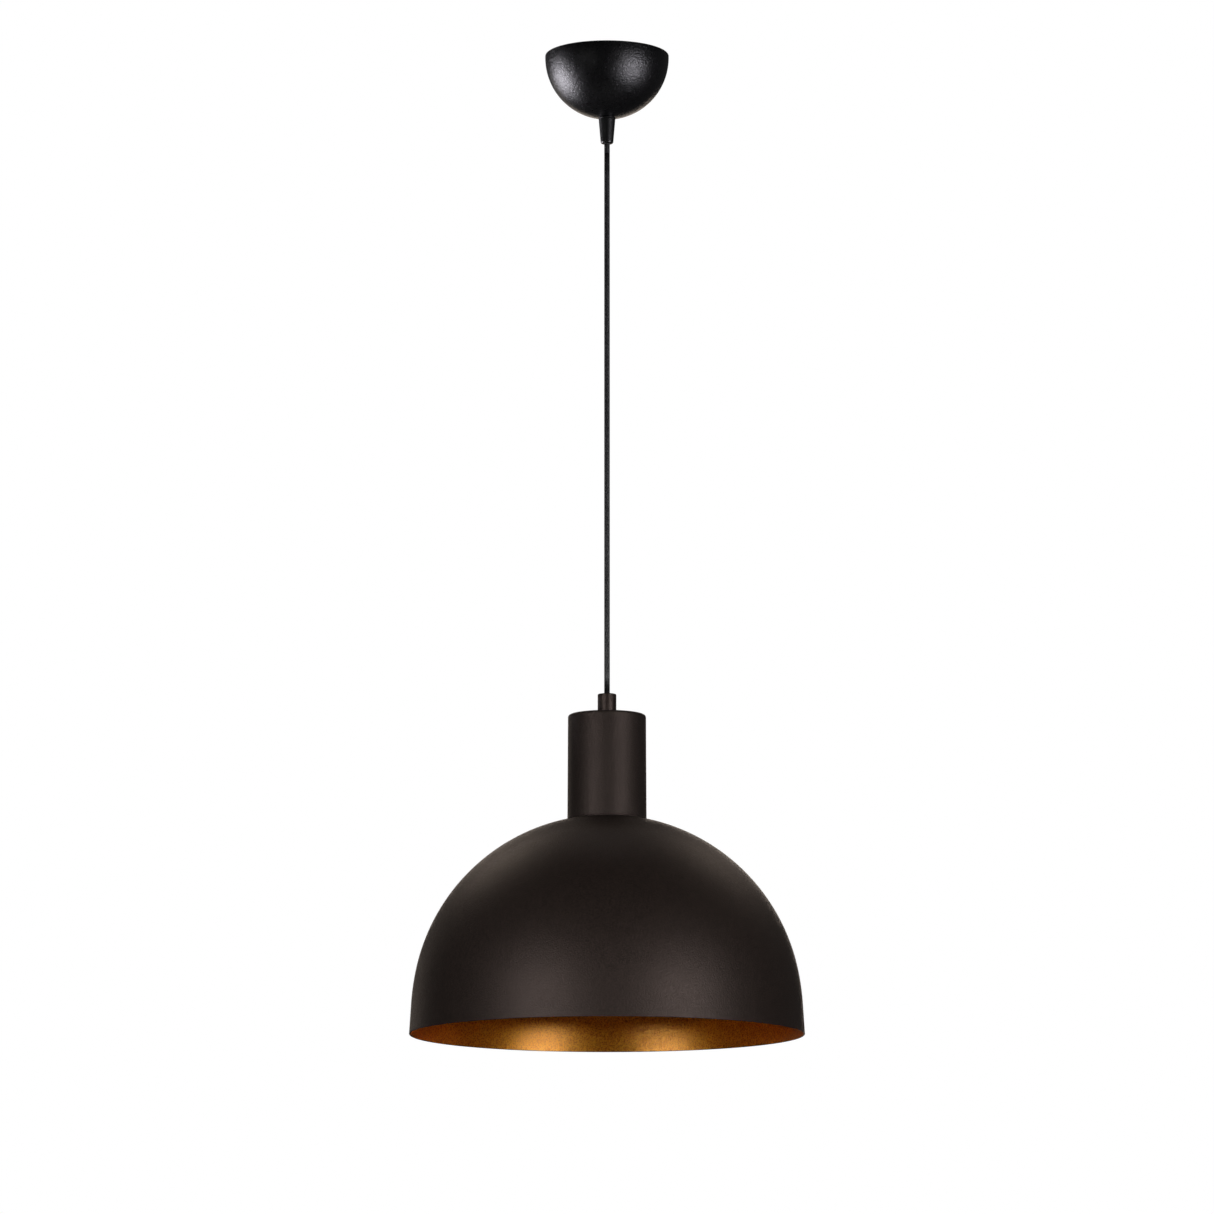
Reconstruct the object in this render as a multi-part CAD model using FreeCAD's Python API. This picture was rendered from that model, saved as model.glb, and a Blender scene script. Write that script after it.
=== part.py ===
"""Pendant ceiling light: plastic canopy, cord grip, round flex, metal socket cup and dome shade.

Millimetres, +Z up. The origin is the middle of the bracket face that lies on the ceiling.
Everything that is round is turned about the Z axis, and most pieces hang on that axis.
"""

import FreeCAD
import Part

import math
import os

# ---------------------------------------------------------------- driving dimensions
# ceiling bracket, a steel strap with a side tab for the terminal block
STRAP_LENGTH = 84.0
STRAP_WIDTH = 20.0
STRAP_THICKNESS = 1.6
STRAP_CORNER_R = 6.0
SLOT_SPACING = 60.0
SLOT_WIDTH = 5.0
SLOT_LENGTH = 12.0
TAB_REACH = 28.0
TAB_HALF_WIDTH = 9.0
TAB_CORNER_R = 3.0

# hook riveted under the bracket
HOOK_WIRE_R = 1.3
HOOK_LOOP_R = 5.0
HOOK_LOOP_Z = -10.0
HOOK_TIP_RISE = 2.0
HOOK_COLLAR_R = 3.6
HOOK_COLLAR_HEIGHT = 1.4

# flex suspender: a moulded block on a bar, and the plate that clamps the flex in it
SUSPENDER_TOP = -19.0
SUSPENDER_BOTTOM = -35.0
SUSPENDER_WIDTH = 15.0
SUSPENDER_DEPTH = 14.0
SUSPENDER_CORNER_R = 1.5
SUSPENDER_BAR_R = 1.6
SUSPENDER_LEG_Y = 5.2
SUSPENDER_LEG_HALF_Y = 1.4
SUSPENDER_LEG_HALF_X = 2.4
SUSPENDER_LEG_ROOT = 1.0
SUSPENDER_ROOF = 3.0
SUSPENDER_SCREW_X = 5.2
SUSPENDER_SCREW_Z = -31.0
SUSPENDER_SCREW_LENGTH = 11.0
SUSPENDER_TAP_SPARE = 3.0
SMALL_HEAD = 1.4
SMALL_HEAD_R = 2.2
SMALL_SCREW_R = 1.25
CLAMP_DEPTH = 4.5
CORE_ROOM_HALF_Y = 2.6
CORE_ROOM_END_X = 1.6
CORE_ROOM_HEIGHT = 3.2

# terminal block
WAY_PITCH = 10.0
WAY_HALF = 3.4
FIRST_WAY_Y = 14.0
BLOCK_LENGTH = 17.0
BLOCK_HEIGHT = 12.5
BLOCK_WEB_HALF = 2.2
BLOCK_SOFT_EDGE = 0.8
CHIMNEY_R = 2.9
CHIMNEY_BORE_R = 1.9
INSERT_R = 2.6
INSERT_BORE_R = 1.7
INSERT_LENGTH = 15.2
INSERT_SCREW_X = 4.6
TERMINAL_HEAD_R = 1.8
TERMINAL_HEAD = 1.6
TERMINAL_SCREW_R = 1.2
TERMINAL_HEAD_SINK = 0.5
BLOCK_HEAD_R = 2.4
BLOCK_HEAD = 1.5

# flex: the sheath and the two cores in it, and how much of a run each end of an arc takes
FLEX_R = 2.15
CORE_R = 0.95
FLEX_TOP = -24.0
BEND_TOP = -70.0
BEND_LENGTH = 4.0
FLEX_END = -504.0
FLEX_BARE_RISE = 1.5
ARC_SHARE = 0.45

# canopy, a hemisphere with a short straight lip
CANOPY_R = 48.0
CANOPY_LIP = 2.0
CANOPY_WALL = 1.6
CANOPY_EDGE = 0.9
CANOPY_SEAT_R = 9.6

# cord grip
M10_R = 5.0
THREAD_PITCH = 1.0
THREAD_DEPTH = 0.55
GRIP_FLANGE_R = 6.7
GRIP_FLANGE_THICKNESS = 1.5
GRIP_FLANGE_EDGE = 0.35
GRIP_STEM_TOP = -40.0
GRIP_STEM_BORE_R = 3.4
GRIP_SPIGOT_R = 4.55
GRIP_SPIGOT_BOTTOM = -59.0
GRIP_NUT_TOP_R = 6.45
GRIP_NUT_TOP_EDGE = 0.3
GRIP_NUT_LOW_R = 4.8
GRIP_NUT_ROUND = 1.5
GRIP_NUT_BELL = 0.8
GRIP_NUT_THREAD_GAP = 0.12
GRIP_NUT_MOUTH_GAP = 0.25
GRIP_MOUTH = -70.5
COLLET_BOTTOM = -62.2
COLLET_NECK_R = 3.2
COLLET_NECK_HEIGHT = 5.0
COLLET_R = 4.25
COLLET_SLIT = 0.6
COLLET_SLITS = 4
COLLET_FOOT = 1.7
COLLET_TAPER = 1.2
COLLET_PLAY = 0.3
LOCK_NUT_FLATS = 15.0
LOCK_NUT_HEIGHT = 4.5
CROWN_IN = 0.6
CROWN_OUT = 0.2
CROWN_DROP = 0.8
LOCK_WASHER_R = 8.6
CUP_NUT_FLATS = 14.0
CUP_NUT_HEIGHT = 3.0
CUP_WASHER_R = 9.0
WASHER_THICKNESS = 0.8
WASHER_TEETH = 12
WASHER_NOTCH_DEPTH = 1.0
WASHER_NOTCH_WIDTH = 1.2

# sleeve, nipple and socket cup
SLEEVE_R = 7.15
SLEEVE_TOP = -502.0
SLEEVE_EDGE = 0.7
SLEEVE_SCREW_Z = -505.4
SLEEVE_SCREW_R = 1.45
SLEEVE_SCREW_KEY = 1.5
SLEEVE_SCREW_KEY_DEPTH = 2.0
SLEEVE_SCREW_SINK = 0.3
NIPPLE_TOP = -508.2
NIPPLE_BOTTOM = -548.0
NIPPLE_BORE_R = 3.3
CUP_TOP = -518.0
CUP_WALL = 0.9
CUP_TOP_R = 29.82
CUP_LOW_R = 30.12
CUP_BASE_R = 30.5
CUP_EDGE = 2.2
CUP_FLARE = 13.0
CUP_FLARE_SAG = 0.06

# lampholder for a standard E27 lamp
E27_BORE_R = 13.3
E27_WALL = 0.6
E27_TOP = -574.0
E27_BOTTOM = -600.0
E27_LIP = 0.6
HOLDER_TOP = -538.0
HOLDER_WALL = 2.2
HOLDER_NECK_R = 9.0
HOLDER_NECK_HEIGHT = 10.0
HOLDER_SHOULDER_R = 21.5
HOLDER_SHOULDER_DROP = 6.0
HOLDER_CAP_BOTTOM = -568.0
HOLDER_INSIDE_R = 17.6
HOLDER_INSIDE_BEVEL_R = 14.0
HOLDER_INSIDE_BEVEL = 1.5
SKIRT_TOP = -560.0
SKIRT_BOTTOM = -606.0
SKIRT_R = 19.9
SKIRT_BORE_R = 15.0
SKIRT_EDGE = 0.6
SKIRT_PITCH = 2.5
SKIRT_THREAD_DEPTH = 1.0
SKIRT_THREAD_START = 1.0
SKIRT_SEAT_R = 17.5
SKIRT_SEAT_DEPTH = 8.1
CORE_BLOCK_R = 17.2
CORE_BLOCK_LOW_R = 14.6
CORE_BLOCK_TOP = -558.0
CORE_BLOCK_EDGE = 0.8
CONTACT_POCKET_R = 11.0
CONTACT_POCKET_DEPTH = 3.5
CONTACT_THICKNESS = 0.5
CONTACT_HALF_WIDTH = 2.5
CONTACT_HEEL_X = -8.0
CONTACT_BEND_X = -3.0
CONTACT_TIP_X = 6.5
CONTACT_SLOPE_DEG = 13.0
TERMINAL_X = 9.0
TERMINAL_DEPTH = 4.0
LUG_HALF_X = 3.0
LUG_HALF_Y = 3.4
LUG_HEIGHT = 5.5
LUG_HOLE_R = 1.05
LUG_WIRE_Y = -1.2
LUG_SCREW_Y = 1.6
LUG_POCKET_GAP = 0.2
LUG_WIRE_RISE = 3.6
LUG_FLOOR = 1.5
LUG_HEAD_R = 1.9
LUG_HEAD = 1.3
LUG_SCREW_R = 1.0
LUG_SCREW_LENGTH = 4.6
STRIP_HALF_WIDTH = 2.4
STRIP_RISE = 5.0
STRIP_SLOT_X = 13.9
STRIP_SLOT_HALF_WIDTH = 3.0
STRIP_SLOT_WALL = 1.2
STRIP_SLOT_DROP = 2.0

# shade rings
RING_R = 27.0
RING_DISC = 2.0
RING_GRIP_R = 24.5
RING_HEIGHT = 6.0
RING_EDGE = 0.5
RING_RIBS = 24
RING_GROOVE_R = 0.8
RING_GROOVE_OUT = 0.2

# dome shade, pressed from one sheet: straight skirt, bend, sphere, flat seat
SHADE_RIM_R = 150.0
SHADE_RIM_Z = -762.8
SHADE_SHEET = 0.8
SKIRT_FLARE_DEG = 3.5
SKIRT_FLARE_OUT = 1.4
BEND_END_DEG = 13.4
BEND_R = 178.0
SEAT_R = 29.0
SEAT_HOLE_R = 20.2

# small gaps, and how far a cutting shape runs past what it cuts
THREAD_GAP = 0.05
FIT_GAP = 0.1
TURN_GAP = 0.2
BEYOND = 2.0

# ---------------------------------------------------------------- sizes that follow
ALONG_X = FreeCAD.Vector(1, 0, 0)
ALONG_Y = FreeCAD.Vector(0, 1, 0)
UP = FreeCAD.Vector(0, 0, 1)
CENTRE = FreeCAD.Vector(0, 0, 0)
SIDES = (-1, 1)

SUSPENDER_FRONT = -SUSPENDER_DEPTH / 2
SUSPENDER_SPLIT_Y = SUSPENDER_FRONT + CLAMP_DEPTH
SUSPENDER_BAR_Z = HOOK_LOOP_Z - HOOK_LOOP_R + HOOK_WIRE_R + SUSPENDER_BAR_R
WAY_Y = (FIRST_WAY_Y, FIRST_WAY_Y + WAY_PITCH)
WAY_Z = -STRAP_THICKNESS - BLOCK_HEIGHT / 2
WAY_BOTTOM = WAY_Z - WAY_HALF
BLOCK_BOTTOM = -STRAP_THICKNESS - BLOCK_HEIGHT
BLOCK_SCREW_Y = FIRST_WAY_Y + WAY_PITCH / 2

CANOPY_CENTRE_Z = -CANOPY_LIP
CANOPY_INSIDE_R = CANOPY_R - CANOPY_WALL
CANOPY_FLAT_Z = CANOPY_CENTRE_Z - math.sqrt(CANOPY_R ** 2 - GRIP_FLANGE_R ** 2)
CANOPY_FLOOR = CANOPY_CENTRE_Z - math.sqrt(CANOPY_INSIDE_R ** 2 - CANOPY_SEAT_R ** 2)
FLANGE_BOTTOM = CANOPY_FLAT_Z - GRIP_FLANGE_THICKNESS
BEND_MIDDLE = BEND_TOP - BEND_LENGTH
BEND_BOTTOM = BEND_MIDDLE - BEND_LENGTH
STRIP_SLOT_TOP = SKIRT_TOP - STRIP_SLOT_DROP
FLEX_BARE_END = NIPPLE_BOTTOM + FLEX_BARE_RISE


# ---------------------------------------------------------------- drawing helpers
def at(r, z):
    """A point of an outline that is turned about Z: radius and height."""
    return FreeCAD.Vector(r, 0, z)


def straight(points, closed=False):
    """Line edges through (radius, height) pairs."""
    ends = [at(*p) for p in points]
    if closed:
        ends.append(ends[0])
    return [Part.LineSegment(a, b).toShape() for a, b in zip(ends, ends[1:])]


def bow(centre, radius, start_deg, end_deg):
    """An arc edge about centre = (radius, height), with angles measured from outwards to up."""
    angles = [math.radians(a) for a in (start_deg, (start_deg + end_deg) / 2, end_deg)]
    spots = [at(centre[0] + radius * math.cos(a), centre[1] + radius * math.sin(a)) for a in angles]
    return Part.Arc(*spots).toShape()


def turned(edges):
    """The solid that a closed outline makes when it is turned about Z."""
    wire = Part.Wire(Part.__sortEdges__(edges))
    return Part.Solid(Part.Face(wire).revolve(CENTRE, UP, 360))


def lathe(points):
    """A turned solid whose outline is straight between (radius, height) pairs."""
    return turned(straight(points, closed=True))


def rod(radius, start, end):
    """A round bar between two points."""
    along = end - start
    return Part.makeCylinder(radius, along.Length, start, along)


def upright(radius, low, high, x=0.0, y=0.0):
    """A round bar along Z."""
    return Part.makeCylinder(radius, high - low, FreeCAD.Vector(x, y, low))


def block(low, high):
    """A box between its lowest and highest corners."""
    size = [b - a for a, b in zip(low, high)]
    return Part.makeBox(*size, FreeCAD.Vector(*low))


def hexagon(flats, low, high):
    """A six-sided bar along Z, with the given distance between its flats."""
    corner = flats / math.sqrt(3)
    turns = [k * math.pi / 3 for k in range(7)]
    ring = [FreeCAD.Vector(corner * math.cos(turn), corner * math.sin(turn), low) for turn in turns]
    return Part.Face(Part.makePolygon(ring)).extrude(UP * (high - low))


def softened(solid, radius, wanted):
    """The solid with a fillet on every edge that wanted(edge) picks."""
    edges = [e for e in solid.Edges if wanted(e)]
    return solid.makeFillet(radius, edges)


def is_upright(edge):
    """Whether an edge runs up and down."""
    return edge.BoundBox.ZLength > BEYOND / 2


def around(shape, count, phase_deg=0.0):
    """Copies of a shape, evenly spaced round the Z axis."""
    return [shape.rotated(CENTRE, UP, phase_deg + 360.0 * k / count) for k in range(count)]


def placed(shape, x, y, z, axis=UP, angle=0.0):
    """A copy that is turned about the origin and then moved."""
    copy = shape.rotated(CENTRE, axis, angle)
    copy.translate(FreeCAD.Vector(x, y, z))
    return copy


def thread_outline(major, depth, pitch, low, high):
    """The stepped outline of an outside thread, from its low end to its high end."""
    root = major - depth
    points = [(root, low)]
    for k in range(math.ceil((high - low) / pitch) - 1):
        z = low + k * pitch
        points += [(major, z + 0.40 * pitch), (major, z + 0.60 * pitch), (root, z + pitch)]
    points.append((root, high))
    return points


def rounded_tube(points, radius):
    """A round tube along straight runs that are joined by tangent arcs."""
    spots = [FreeCAD.Vector(*p) for p in points]
    edges = []
    start = spots[0]
    for before, corner, after in zip(spots, spots[1:], spots[2:]):
        back = before - corner
        ahead = after - corner
        reach = ARC_SHARE * min(back.Length, ahead.Length)
        enter = corner + back.normalize() * reach
        leave = corner + ahead.normalize() * reach
        half_turn = back.getAngle(ahead) / 2
        bend_r = reach * math.tan(half_turn)
        inward = (back + ahead).normalize()
        middle = corner + inward * (bend_r / math.sin(half_turn) - bend_r)
        edges.append(Part.LineSegment(start, enter).toShape())
        edges.append(Part.Arc(enter, middle, leave).toShape())
        start = leave
    edges.append(Part.LineSegment(start, spots[-1]).toShape())
    path = Part.Wire(edges)
    section = Part.Wire(Part.Circle(spots[0], spots[1] - spots[0], radius).toShape())
    return path.makePipeShell([section], True, False)


def screw(head_r, head_height, shank_r, length):
    """A slotted screw that points down -Z, its head's top face at the origin."""
    slot_half_width = 0.35
    slot_depth = 0.45 * head_height
    head = upright(head_r, -head_height, 0)
    shank = upright(shank_r, -length, -head_height)
    slot = block((-head_r, -slot_half_width, -slot_depth), (head_r, slot_half_width, BEYOND))
    return head.fuse(shank).cut(slot).removeSplitter()


def toothed_washer(outer_r, low):
    """A flat washer for the M10 thread, with notches round its edge."""
    high = low + WASHER_THICKNESS
    half = WASHER_NOTCH_WIDTH / 2
    ring = upright(outer_r, low, high).cut(upright(M10_R + FIT_GAP, low - BEYOND, high + BEYOND))
    notch = block((outer_r - WASHER_NOTCH_DEPTH, -half, low - BEYOND),
                  (outer_r + BEYOND, half, high + BEYOND))
    return ring.cut(around(notch, WASHER_TEETH))


def flex_piece(high, low):
    """A straight stretch of the round flex."""
    return upright(FLEX_R, low, high)


# ---------------------------------------------------------------- ceiling side
def bracket_slot(x):
    """The cutting shape of one slot for a ceiling screw."""
    half = SLOT_WIDTH / 2
    end = (SLOT_LENGTH - SLOT_WIDTH) / 2
    low = -STRAP_THICKNESS - BEYOND
    shape = block((x - end, -half, low), (x + end, half, BEYOND))
    return shape.fuse([upright(half, low, BEYOND, x + side * end) for side in SIDES])


def mounting_bracket():
    """Steel strap with two slots, and a tab for the terminal block."""
    half_l = STRAP_LENGTH / 2
    half_w = STRAP_WIDTH / 2
    strap = block((-half_l, -half_w, -STRAP_THICKNESS), (half_l, half_w, 0))
    strap = softened(strap, STRAP_CORNER_R, is_upright)
    tab = block((-TAB_HALF_WIDTH, 0, -STRAP_THICKNESS), (TAB_HALF_WIDTH, TAB_REACH, 0))
    tab = softened(tab, TAB_CORNER_R, lambda e: is_upright(e) and e.BoundBox.YMin > half_w)
    plate = strap.fuse(tab)
    plate = plate.cut([bracket_slot(side * SLOT_SPACING / 2) for side in SIDES])
    screw_hole = upright(SMALL_SCREW_R + THREAD_GAP, -STRAP_THICKNESS - BEYOND, BEYOND, 0, BLOCK_SCREW_Y)
    return plate.cut(screw_hole).removeSplitter()


def bracket_hook():
    """J-shaped wire hook with a riveted collar."""
    collar = upright(HOOK_COLLAR_R, -STRAP_THICKNESS - HOOK_COLLAR_HEIGHT, -STRAP_THICKNESS, -HOOK_LOOP_R)
    shank = upright(HOOK_WIRE_R, HOOK_LOOP_Z, -STRAP_THICKNESS - HOOK_COLLAR_HEIGHT / 2, -HOOK_LOOP_R)
    loop = Part.makeTorus(HOOK_LOOP_R, HOOK_WIRE_R, FreeCAD.Vector(0, 0, HOOK_LOOP_Z), ALONG_Y)
    reach = HOOK_LOOP_R + 2 * HOOK_WIRE_R
    lower_half = block((-reach, -reach, HOOK_LOOP_Z - reach), (reach, reach, HOOK_LOOP_Z))
    tip_z = HOOK_LOOP_Z + HOOK_TIP_RISE
    tip = upright(HOOK_WIRE_R, HOOK_LOOP_Z, tip_z, HOOK_LOOP_R)
    end = Part.makeSphere(HOOK_WIRE_R, FreeCAD.Vector(HOOK_LOOP_R, 0, tip_z))
    return collar.fuse([shank, loop.common(lower_half), tip, end]).removeSplitter()


def suspender_cavity():
    """The space in the suspender: the flex, and above it the two cores that leave sideways."""
    flex = upright(FLEX_R, SUSPENDER_BOTTOM - BEYOND, FLEX_TOP)
    low = (-SUSPENDER_WIDTH, -CORE_ROOM_HALF_Y, FLEX_TOP)
    room = block(low, (CORE_ROOM_END_X, CORE_ROOM_HALF_Y, FLEX_TOP + CORE_ROOM_HEIGHT))
    return flex.fuse(room)


def suspender_block():
    """The outside of the suspender and its clamp plate together."""
    half_w = SUSPENDER_WIDTH / 2
    half_d = SUSPENDER_DEPTH / 2
    body = block((-half_w, -half_d, SUSPENDER_BOTTOM), (half_w, half_d, SUSPENDER_TOP))
    return softened(body, SUSPENDER_CORNER_R, is_upright)


def suspender_screw_holes(radius, end_y):
    """Cutting rods for the two clamp screws, from the front back to end_y."""
    front = SUSPENDER_FRONT - BEYOND
    return [rod(radius, FreeCAD.Vector(side * SUSPENDER_SCREW_X, front, SUSPENDER_SCREW_Z),
                FreeCAD.Vector(side * SUSPENDER_SCREW_X, end_y, SUSPENDER_SCREW_Z)) for side in SIDES]


def flex_suspender():
    """Back half of the suspender, with two legs and the bar that hangs in the hook."""
    half_x = SUSPENDER_LEG_HALF_X
    reach = SUSPENDER_LEG_Y + SUSPENDER_LEG_HALF_Y
    back = block((-SUSPENDER_WIDTH, SUSPENDER_SPLIT_Y, SUSPENDER_BOTTOM),
                 (SUSPENDER_WIDTH, SUSPENDER_DEPTH, SUSPENDER_TOP))
    roof = block((-half_x, -reach, SUSPENDER_TOP - SUSPENDER_ROOF), (half_x, reach, SUSPENDER_TOP))
    bar = rod(SUSPENDER_BAR_R, FreeCAD.Vector(0, -reach, SUSPENDER_BAR_Z),
              FreeCAD.Vector(0, reach, SUSPENDER_BAR_Z))
    legs = []
    for side in SIDES:
        y = side * SUSPENDER_LEG_Y
        legs.append(block((-half_x, y - SUSPENDER_LEG_HALF_Y, SUSPENDER_TOP - SUSPENDER_LEG_ROOT),
                          (half_x, y + SUSPENDER_LEG_HALF_Y, SUSPENDER_BAR_Z)))
    solid = suspender_block().common(back).fuse([roof, bar] + legs).cut(suspender_cavity())
    thread_end_y = SUSPENDER_FRONT - SMALL_HEAD + SUSPENDER_SCREW_LENGTH + SUSPENDER_TAP_SPARE
    return solid.cut(suspender_screw_holes(SMALL_SCREW_R, thread_end_y)).removeSplitter()


def suspender_clamp():
    """Front plate that presses on the flex."""
    front = block((-SUSPENDER_WIDTH, -SUSPENDER_DEPTH, SUSPENDER_BOTTOM),
                  (SUSPENDER_WIDTH, SUSPENDER_SPLIT_Y, SUSPENDER_TOP - SUSPENDER_ROOF))
    solid = suspender_block().common(front).cut(suspender_cavity())
    return solid.cut(suspender_screw_holes(SMALL_SCREW_R + THREAD_GAP, SUSPENDER_DEPTH)).removeSplitter()


def suspender_screws():
    """Two screws that pull the clamp plate back."""
    pin = screw(SMALL_HEAD_R, SMALL_HEAD, SMALL_SCREW_R, SUSPENDER_SCREW_LENGTH)
    head_y = SUSPENDER_FRONT - SMALL_HEAD
    return [placed(pin, side * SUSPENDER_SCREW_X, head_y, SUSPENDER_SCREW_Z, ALONG_X, 90) for side in SIDES]


def terminal_block():
    """Nylon block with two ways, each with two screw chimneys, and a web that joins them."""
    half = BLOCK_LENGTH / 2
    top = -STRAP_THICKNESS
    body = block((-BLOCK_WEB_HALF, WAY_Y[0], WAY_BOTTOM), (BLOCK_WEB_HALF, WAY_Y[1], top))
    for y in WAY_Y:
        way = block((-half, y - WAY_HALF, WAY_BOTTOM), (half, y + WAY_HALF, top))
        way = softened(way, BLOCK_SOFT_EDGE, lambda e: e.BoundBox.XLength > BLOCK_LENGTH / 2)
        chimneys = [upright(CHIMNEY_R, BLOCK_BOTTOM, WAY_Z, side * INSERT_SCREW_X, y) for side in SIDES]
        body = body.fuse([way] + chimneys)
    for y in WAY_Y:
        wire_way = rod(INSERT_R, FreeCAD.Vector(-BLOCK_LENGTH, y, WAY_Z),
                       FreeCAD.Vector(BLOCK_LENGTH, y, WAY_Z))
        bores = [upright(CHIMNEY_BORE_R, BLOCK_BOTTOM - BEYOND, WAY_Z, side * INSERT_SCREW_X, y)
                 for side in SIDES]
        body = body.cut([wire_way] + bores)
    body = body.cut(upright(SMALL_SCREW_R + THREAD_GAP, BLOCK_BOTTOM - BEYOND, BEYOND, 0, BLOCK_SCREW_Y))
    return body.removeSplitter()


def terminal_inserts():
    """The two brass tubes of the terminal block."""
    half = INSERT_LENGTH / 2
    found = []
    for y in WAY_Y:
        tube = rod(INSERT_R, FreeCAD.Vector(-half, y, WAY_Z), FreeCAD.Vector(half, y, WAY_Z))
        bore = rod(INSERT_BORE_R, FreeCAD.Vector(-BLOCK_LENGTH, y, WAY_Z),
                   FreeCAD.Vector(BLOCK_LENGTH, y, WAY_Z))
        taps = [upright(SMALL_SCREW_R, BLOCK_BOTTOM, WAY_Z, side * INSERT_SCREW_X, y) for side in SIDES]
        found.append(tube.cut([bore] + taps))
    return found


def terminal_screws():
    """Four screws that press up onto the wires."""
    head_face = BLOCK_BOTTOM + TERMINAL_HEAD_SINK
    pin = screw(TERMINAL_HEAD_R, TERMINAL_HEAD, TERMINAL_SCREW_R, WAY_Z - CORE_R - head_face)
    return [placed(pin, side * INSERT_SCREW_X, y, head_face, ALONG_X, 180) for y in WAY_Y for side in SIDES]


def terminal_block_screw():
    """The screw that holds the block to the bracket's tab."""
    head_face = WAY_BOTTOM - BLOCK_HEAD
    pin = screw(BLOCK_HEAD_R, BLOCK_HEAD, SMALL_SCREW_R, -head_face)
    return placed(pin, 0, BLOCK_SCREW_Y, head_face, ALONG_X, 180)


def ceiling_core(way):
    """One core, from the suspender's side out to its brass insert; way 0 is the near one."""
    side = (1, -1)[way]
    y = side * 1.4
    leave_z = FLEX_TOP + 1.5
    out = 16.0 + 3.0 * way
    route = [(-0.6, y, leave_z), (-10.0 - 2.0 * way, y, leave_z), (-out, 4.0 + 2.0 * way, leave_z + 4.0),
             (-out, WAY_Y[way] - 2.0, WAY_Z - 1.0), (-12.0, WAY_Y[way], WAY_Z), (-3.0, WAY_Y[way], WAY_Z)]
    return rounded_tube(route, CORE_R)


# ---------------------------------------------------------------- canopy and cord grip
def canopy_shell():
    """Hemisphere with a rounded lip at the ceiling and a flat seat at the bottom."""
    low_deg = -90 + math.degrees(math.asin(GRIP_FLANGE_R / CANOPY_R))
    inner_deg = -90 + math.degrees(math.asin(CANOPY_SEAT_R / CANOPY_INSIDE_R))
    hole = M10_R + FIT_GAP
    centre = (0, CANOPY_CENTRE_Z)
    lip = CANOPY_R - CANOPY_EDGE
    edges = [bow(centre, CANOPY_R, low_deg, 0), bow(centre, CANOPY_INSIDE_R, inner_deg, 0)]
    edges += straight([(GRIP_FLANGE_R, CANOPY_FLAT_Z), (hole, CANOPY_FLAT_Z), (hole, CANOPY_FLOOR),
                       (CANOPY_SEAT_R, CANOPY_FLOOR)])
    edges += straight([(CANOPY_R, CANOPY_CENTRE_Z), (CANOPY_R, -CANOPY_EDGE)])
    edges.append(bow((lip, -CANOPY_EDGE), CANOPY_EDGE, 0, 90))
    edges += straight([(lip, 0), (CANOPY_INSIDE_R, 0), (CANOPY_INSIDE_R, CANOPY_CENTRE_Z)])
    return turned(edges)


def grip_stem():
    """Hollow threaded stem: M10 above the flange, and a smaller thread for the nut below it."""
    edge = GRIP_FLANGE_EDGE
    upper = thread_outline(M10_R, THREAD_DEPTH, THREAD_PITCH, CANOPY_FLAT_Z, GRIP_STEM_TOP)
    lower = thread_outline(GRIP_SPIGOT_R, THREAD_DEPTH, THREAD_PITCH, GRIP_SPIGOT_BOTTOM, FLANGE_BOTTOM)
    rim = [(GRIP_FLANGE_R - edge, FLANGE_BOTTOM), (GRIP_FLANGE_R, FLANGE_BOTTOM + edge),
           (GRIP_FLANGE_R, CANOPY_FLAT_Z - edge), (GRIP_FLANGE_R - edge, CANOPY_FLAT_Z)]
    bore = [(GRIP_STEM_BORE_R, GRIP_STEM_TOP), (GRIP_STEM_BORE_R, GRIP_SPIGOT_BOTTOM)]
    return lathe(lower + rim + upper + bore)


def grip_lock_nut():
    """Hexagon nut with turned corners, on the stem inside the canopy."""
    low = CANOPY_FLOOR + WASHER_THICKNESS
    high = low + LOCK_NUT_HEIGHT
    corner = LOCK_NUT_FLATS / math.sqrt(3)
    crown = lathe([(0, low), (corner - CROWN_IN, low), (corner + CROWN_OUT, low + CROWN_DROP),
                   (corner + CROWN_OUT, high - CROWN_DROP), (corner - CROWN_IN, high), (0, high)])
    hole = upright(M10_R + THREAD_GAP, low - BEYOND, high + BEYOND)
    return hexagon(LOCK_NUT_FLATS, low, high).common(crown).cut(hole)


def grip_collet():
    """Slit nylon ring that the nut squeezes onto the flex."""
    bore = FLEX_R + FIT_GAP
    top = GRIP_SPIGOT_BOTTOM + COLLET_NECK_HEIGHT
    ring = lathe([(bore, top), (COLLET_NECK_R, top), (COLLET_NECK_R, GRIP_SPIGOT_BOTTOM - FIT_GAP),
                  (COLLET_R, GRIP_SPIGOT_BOTTOM - COLLET_TAPER), (COLLET_R, COLLET_BOTTOM),
                  (bore, COLLET_BOTTOM)])
    half = COLLET_SLIT / 2
    slit = block((0, -half, COLLET_BOTTOM + COLLET_FOOT), (COLLET_R + BEYOND, half, top + BEYOND))
    return ring.cut(around(slit, COLLET_SLITS, 45))


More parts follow.
